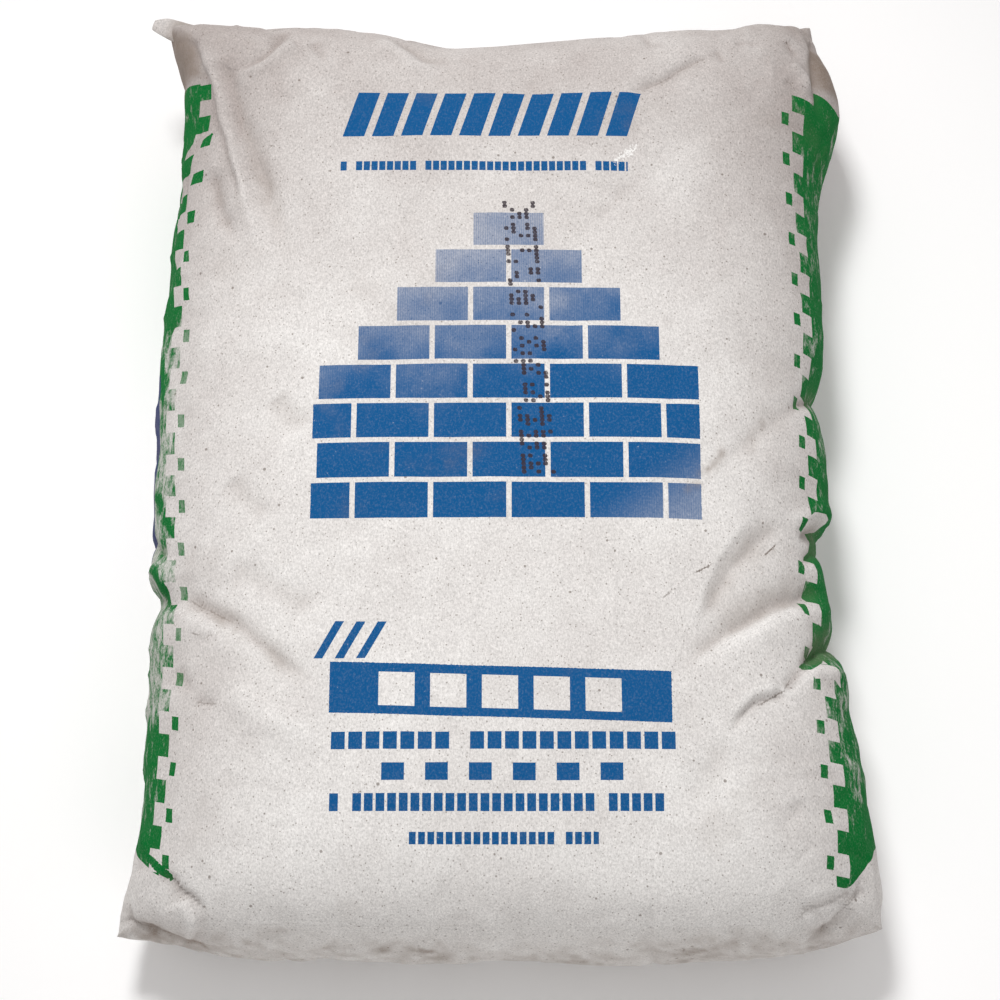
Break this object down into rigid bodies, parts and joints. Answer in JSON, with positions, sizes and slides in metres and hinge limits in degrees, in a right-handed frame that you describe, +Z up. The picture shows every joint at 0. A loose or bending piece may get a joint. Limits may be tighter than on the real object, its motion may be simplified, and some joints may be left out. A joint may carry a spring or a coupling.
{
  "type": "cement bag",
  "caption": "Filled pasted paper valve sack lying flat on its back, pillow-shaped with pinched corner ears, creased paper and checked edge bands; holds dry cement.",
  "frame": {"origin": "middle of the footprint of the whole lying sack, on the floor", "axes": "+Y from the foot to the head of the sack, along its length; +X across its width, to the right as the printed face is read; +Z up, out of the printed face"},
  "size_m": [0.493, 0.6744, 0.141],
  "materials": {
    "paper": "matt off-white recycled sack paper, printed and dusty",
    "cover_paper": "matt greyish paper, a little darker and dirtier than the sack",
    "valve_paper": "matt off-white paper"
  },
  "bodies": {
    "root": {"paper_sack": "paper", "foot_cover_sheet": "cover_paper", "head_cover_sheet": "cover_paper", "valve_sleeve": "valve_paper"}
  },
  "joints": []
}
